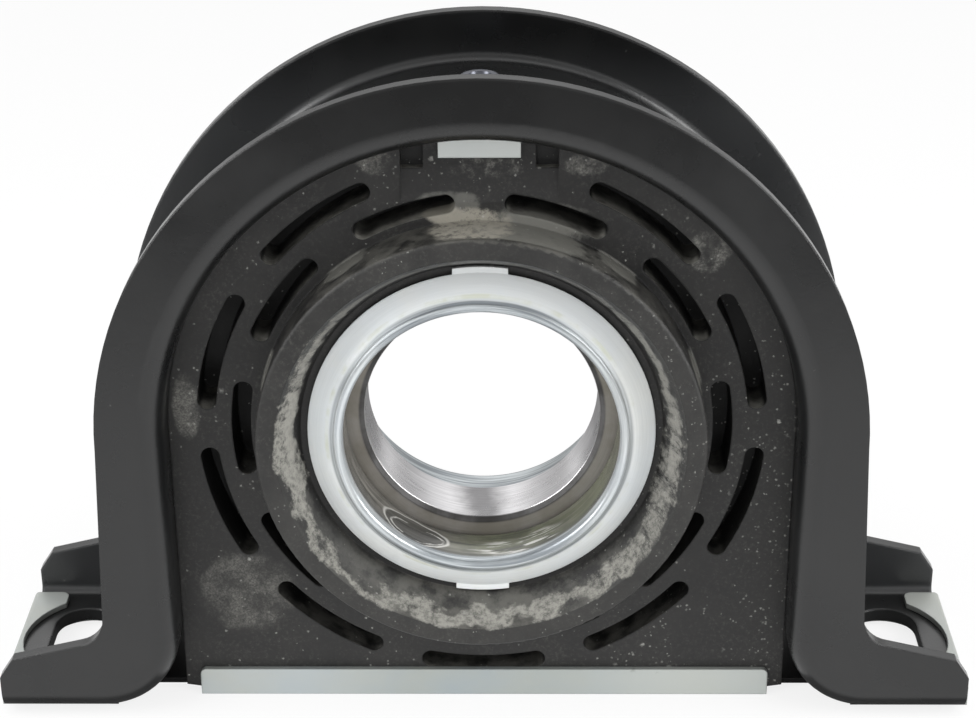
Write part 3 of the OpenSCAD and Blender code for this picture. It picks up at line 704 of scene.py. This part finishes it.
# zinc plated sheet of the base plate and the clip, with painted light making the clip paler and painted shade
# under the bracket's corners
sheetLook = {
    "cool": (0.365, 0.415, 0.44), "warm": (0.42, 0.44, 0.405), "pale": (0.64, 0.665, 0.65),
    "spot": (0.2, 0.2, 0.18), "shade": (0.012, 0.012, 0.012), "grain": {"Scale": 650.0, "Cloud": 24.0},
    "specks": {"Scale": 330.0, "Density": 0.08, "Size": 0.3, "Patch": 30.0}, "speckMix": 0.55,
    "warmSide": (-0.03, 0.06, 0.0, 0.6), "paleEnds": (0.012, 0.05, 0.0, 0.3),
    "clipRise": (0.0, 0.01), "clipPaintedLight": 0.85,
    "foldedEnds": (0.112, 0.116), "foldedMix": 0.35, "bendStart": (0.0753, 0.0757), "bendEnd": (0.1, 0.098),
    "metallic": 0.62, "clipMetallic": 0.5, "dullMetallic": 0.3, "rough": (0.34, 0.46),
    "bump": (0.08, 0.0002, 0.0005),
}


def makeZincSheet():
    look = sheetLook
    material, tree, shader, place = startMaterial("zincSheet")
    x, z = axes(tree, place)[::2]
    reach = absolute(tree, x)
    grain = useGroup(tree, fineGrain, place, **look["grain"])
    specks = useGroup(tree, dustSpecks, place, **look["specks"])
    color = mixColor(tree, grain["Shade"], look["cool"], look["warm"])
    color = mixColor(tree, ramp(tree, x, *look["warmSide"]), color, look["warm"])
    color = mixColor(tree, ramp(tree, reach, *look["paleEnds"]), color, look["pale"])
    # painted light: the clip paler than the base plate
    clip = ramp(tree, z, *look["clipRise"])
    color = mixColor(tree, times(tree, clip, look["clipPaintedLight"]), color, look["pale"])
    color = mixColor(tree, times(tree, specks["Mask"], look["speckMix"]), color, look["spot"])
    folded = ramp(tree, reach, *look["foldedEnds"])
    color = mixColor(tree, times(tree, folded, look["foldedMix"]), color, look["spot"])
    # painted shade: near black where the plate runs under the bracket's corners
    paintedShadeUnderBend = times(tree, ramp(tree, reach, *look["bendStart"]), ramp(tree, reach, *look["bendEnd"]))
    color = mixColor(tree, paintedShadeUnderBend, color, look["shade"])
    feed(tree, color, shader.inputs["Base Color"])
    metallic = mixValue(tree, clip, look["metallic"], look["clipMetallic"])
    dull = higher(tree, folded, paintedShadeUnderBend)
    feed(tree, mixValue(tree, dull, metallic, look["dullMetallic"]), shader.inputs["Metallic"])
    feed(tree, mixValue(tree, grain["Shade"], *look["rough"]), shader.inputs["Roughness"])
    addBump(tree, shader, grain["Height"], *look["bump"])
    return material


# ground bearing steel, with painted shade darkening the bottom and top of the bore, dull on the end faces
steelLook = {
    "bright": (0.74, 0.73, 0.74), "dull": (0.57, 0.56, 0.57), "face": (0.2, 0.185, 0.155),
    "rim": (0.02, 0.018, 0.016), "middle": (0.05, 0.049, 0.051),
    "lines": {"Fine": 3200.0, "Sweep": 2.0}, "grain": {"Scale": 800.0, "Cloud": 60.0},
    "middleWaver": 0.003, "middleShadeReach": (0.0085, 0.001, 0.0, 0.75),
    "faceStart": (0.03005, 0.0302), "faceInner": (0.0311, 0.0318), "faceMix": (0.8, 1.0),
    "metallic": (1.0, 0.3), "rough": (0.24, 0.36), "faceRough": 0.5, "bump": (0.05, 0.0002),
}


def makeGroundSteel():
    look = steelLook
    material, tree, shader, place = startMaterial("groundSteel")
    lines = useGroup(tree, turnedLines, place, **look["lines"])
    grain = useGroup(tree, fineGrain, place, **look["grain"])
    color = mixColor(tree, lines["Shade"], look["dull"], look["bright"])
    # painted shade: dark at the bottom and top of the bore
    waver = times(tree, minus(tree, grain["Shade"], noiseMiddle), look["middleWaver"])
    bent = absolute(tree, plus(tree, axes(tree, place)[0], waver))
    color = mixColor(tree, ramp(tree, bent, *look["middleShadeReach"]), color, look["middle"])
    radius = shaftRadius(tree, place)
    face = ramp(tree, radius, *look["faceStart"])
    faceShade = mixColor(tree, ramp(tree, radius, *look["faceInner"]), look["rim"], look["face"])
    faceMix = times(tree, face, mixValue(tree, grain["Shade"], *look["faceMix"]))
    color = mixColor(tree, faceMix, color, faceShade)
    feed(tree, color, shader.inputs["Base Color"])
    feed(tree, mixValue(tree, face, *look["metallic"]), shader.inputs["Metallic"])
    rough = mixValue(tree, grain["Shade"], *look["rough"])
    feed(tree, mixValue(tree, face, rough, look["faceRough"]), shader.inputs["Roughness"])
    addBump(tree, shader, lines["Height"], *look["bump"])
    return material


# polished balls
ballLook = {
    "dark": (0.62, 0.62, 0.63), "light": (0.72, 0.72, 0.73), "grain": {"Scale": 900.0, "Cloud": 150.0},
    "rough": (0.08, 0.14),
}


def makeBallSteel():
    look = ballLook
    material, tree, shader, place = startMaterial("ballSteel", Metallic=1.0)
    shade = useGroup(tree, fineGrain, place, **look["grain"])["Shade"]
    feed(tree, mixColor(tree, shade, look["dark"], look["light"]), shader.inputs["Base Color"])
    feed(tree, mixValue(tree, shade, *look["rough"]), shader.inputs["Roughness"])
    return material


# pressed cage and rivets
pressedLook = {
    "rivetSteel": {"dark": (0.1, 0.105, 0.125), "light": (0.2, 0.205, 0.23)},
    "cageSteel": {"dark": (0.36, 0.35, 0.33), "light": (0.52, 0.51, 0.49)},
    "grain": {"Scale": 600.0, "Cloud": 70.0}, "rough": (0.3, 0.48), "bump": (0.1, 0.0002),
}


def makePressedSteel(name):
    look = pressedLook
    material, tree, shader, place = startMaterial(name, Metallic=1.0)
    grain = useGroup(tree, fineGrain, place, **look["grain"])
    color = mixColor(tree, grain["Shade"], look[name]["dark"], look[name]["light"])
    feed(tree, color, shader.inputs["Base Color"])
    feed(tree, mixValue(tree, grain["Shade"], *look["rough"]), shader.inputs["Roughness"])
    addBump(tree, shader, grain["Height"], *look["bump"])
    return material


# brown moulded seals
sealLook = {
    "dark": (0.03, 0.022, 0.016), "light": (0.06, 0.045, 0.034), "lines": {"Fine": 1500.0, "Sweep": 3.0},
    "specular": 0.4, "rough": (0.4, 0.6), "bump": (0.2, 0.0002),
}


def makeSealRubber():
    look = sealLook
    material, tree, shader, place = startMaterial("sealRubber", Specular_IOR_Level=look["specular"])
    lines = useGroup(tree, turnedLines, place, **look["lines"])
    feed(tree, mixColor(tree, lines["Shade"], look["dark"], look["light"]), shader.inputs["Base Color"])
    feed(tree, mixValue(tree, lines["Shade"], *look["rough"]), shader.inputs["Roughness"])
    addBump(tree, shader, lines["Height"], *look["bump"])
    return material


finishes = {
    "black_paint": makeBlackPaint(),
    "rubber": makeCushionRubber(),
    "zinc_plate": makeZincSheet(),
    "zinc_shield": makeShieldZinc(),
    "rivet_steel": makePressedSteel("rivetSteel"),
    "bearing_steel": makeGroundSteel(),
    "cage_steel": makePressedSteel("cageSteel"),
    "ball_steel": makeBallSteel(),
    "seal_rubber": makeSealRubber(),
}
for part in frame["record"]["subparts"]:
    mesh = nodes[part["node"]].data
    mesh.materials.clear()
    mesh.materials.append(finishes[part["material_slot"]])
print("finishes assigned")

# white floor: paper to the lamps, a plain glow to the camera, and shaded near the part as reflections see it
floorLook = {
    "size": 5.0, "gap": 0.0001, "grey": 0.86, "darker": 0.98, "speckle": 90.0, "rough": 0.9, "specular": 0.1,
    "cameraMix": 0.82, "glossyMix": 0.8, "gloss": (0.235, 0.375, 1.05, 0.03),
    "footStart": (0.0755, 0.079), "middleFront": 0.0165, "footFront": 0.0335, "frontEdge": (0.003, -0.003),
    "endEdge": (0.136, 0.128), "underGloss": (0.0, 1.0, 1.0, 0.04),
}


def makeFloor():
    look = floorLook
    bpy.ops.object.select_all(action="DESELECT")
    bpy.ops.mesh.primitive_plane_add(size=look["size"], location=(0, 0, cadLow.z - look["gap"]))
    floor = bpy.context.object
    floor.name = "floor"
    finish = {"Roughness": look["rough"], "Specular_IOR_Level": look["specular"]}
    material, tree, shader, place = startMaterial("floorPaper", **finish)
    grey = look["grey"]
    paper = mixColor(tree, noise(tree, place, look["speckle"]), (grey * look["darker"],) * 3, (grey,) * 3)
    feed(tree, paper, shader.inputs["Base Color"])
    path = addNode(tree, "ShaderNodeLightPath").outputs
    x, y = axes(tree, place)[:2]
    forward = times(tree, y, -1.0)
    gloss = ramp(tree, forward, *look["gloss"])
    # shade under the feet and under the middle
    across = absolute(tree, x)
    front = mixValue(tree, ramp(tree, across, *look["footStart"]), look["middleFront"], look["footFront"])
    under = ramp(tree, minus(tree, forward, front), *look["frontEdge"])
    under = times(tree, under, ramp(tree, across, *look["endEdge"]))
    gloss = times(tree, gloss, ramp(tree, under, *look["underGloss"]))
    glow = addNode(tree, "ShaderNodeEmission")
    feed(tree, mixValue(tree, path["Is Camera Ray"], gloss, 1.0), glow.inputs["Strength"])
    glossy = times(tree, path["Is Glossy Ray"], look["glossyMix"])
    reflected = higher(tree, glossy, path["Is Transmission Ray"])
    seen = higher(tree, times(tree, path["Is Camera Ray"], look["cameraMix"]), reflected)
    blend = addNode(tree, "ShaderNodeMixShader")
    feed(tree, seen, blend.inputs[0])
    feed(tree, shader.outputs[0], blend.inputs[1])
    feed(tree, glow.outputs[0], blend.inputs[2])
    feed(tree, blend.outputs[0], tree.nodes["Material Output"].inputs[0])
    floor.data.materials.append(material)


# pale room: white to the camera, and as reflections see it brighter behind the part than in front
roomLook = {
    "above": (0.1, 0.7, 0.25, 0.5), "behind": (0.27, 0.52, 0.55, 1.7),
    "backSide": (-0.3, 0.3), "plain": 0.68,
}


def makeWorld():
    look = roomLook
    world = bpy.data.worlds.new("paleRoom")
    bpy.context.scene.world = world
    world.use_nodes = True
    tree = world.node_tree
    back = tree.nodes["Background"]
    path = addNode(tree, "ShaderNodeLightPath").outputs
    y, z = axes(tree, addNode(tree, "ShaderNodeTexCoord").outputs["Generated"])[1:]
    inFront = ramp(tree, z, *look["above"])
    behind = ramp(tree, z, *look["behind"])
    room = mixValue(tree, ramp(tree, y, *look["backSide"]), inFront, behind)
    shown = mixValue(tree, path["Is Glossy Ray"], look["plain"], room)
    shown = mixValue(tree, path["Is Camera Ray"], shown, 1.0)
    shown = mixValue(tree, path["Is Transmission Ray"], shown, 1.0)
    feed(tree, shown, back.inputs["Strength"])
    feed(tree, (1.0, 1.0, 1.0), back.inputs["Color"])


lampLook = [
    {"name": "overhead", "place": (0.0, 0.05, 0.85), "size": (0.9, 0.7), "power": 1.3},
    {"name": "frontSoft", "place": (0.0, -1.0, 0.26), "size": (1.6, 0.6), "power": 2.5},
    {"name": "leftSoft", "place": (-0.8, -0.3, 0.4), "size": (0.5, 0.7), "power": 6.6},
    {"name": "rightSoft", "place": (0.8, -0.3, 0.4), "size": (0.5, 0.7), "power": 6.6},
]


# each lamp points at the middle of the bore
def makeLamps():
    for look in lampLook:
        bpy.ops.object.light_add(type="AREA", location=look["place"])
        lamp = bpy.context.object
        lamp.name = look["name"]
        lamp.data.shape = "RECTANGLE"
        lamp.data.size, lamp.data.size_y = look["size"]
        lamp.data.energy = look["power"]
        lamp.rotation_euler = (-Vector(look["place"])).to_track_quat("-Z", "Y").to_euler()


# camera worked out from the photo: focal length and centre in pixels, distance in metres, angles in degrees
cameraLook = {
    "focal": 2279.12, "centre": (482.53, 399.05), "image": (976, 718), "distance": 0.58888,
    "rise": 25.53, "swing": 0.964, "roll": -0.469, "sensor": 36.0, "clip": (0.01, 20.0),
}


def makeCamera():
    look = cameraLook
    rise, swing, roll = (math.radians(look[key]) for key in ("rise", "swing", "roll"))
    level = Vector((math.sin(swing), -math.cos(swing), 0))
    place = look["distance"] * (math.cos(rise) * level + math.sin(rise) * Vector((0, 0, 1)))
    ahead = -place.normalized()
    right = ahead.cross(Vector((0, 0, 1))).normalized()
    up = right.cross(ahead)
    rolledRight = math.cos(roll) * right + math.sin(roll) * up
    rolledUp = math.cos(roll) * up - math.sin(roll) * right
    data = bpy.data.cameras.new("photoCamera")
    camera = bpy.data.objects.new("photoCamera", data)
    bpy.context.scene.collection.objects.link(camera)
    turn = Matrix((rolledRight, rolledUp, -ahead)).transposed().to_4x4()
    camera.matrix_world = Matrix.Translation(place) @ turn
    width, height = look["image"]
    centreX, centreY = look["centre"]
    data.sensor_fit = "HORIZONTAL"
    data.sensor_width = look["sensor"]
    data.lens = look["focal"] * look["sensor"] / width
    data.shift_x = (width / 2 - centreX) / width
    data.shift_y = (centreY - height / 2) / width
    data.clip_start, data.clip_end = look["clip"]
    bpy.context.scene.camera = camera


makeFloor()
makeWorld()
makeLamps()
makeCamera()
bpy.context.scene.view_settings.view_transform = "Standard"
print("stage, lamps and camera ready")
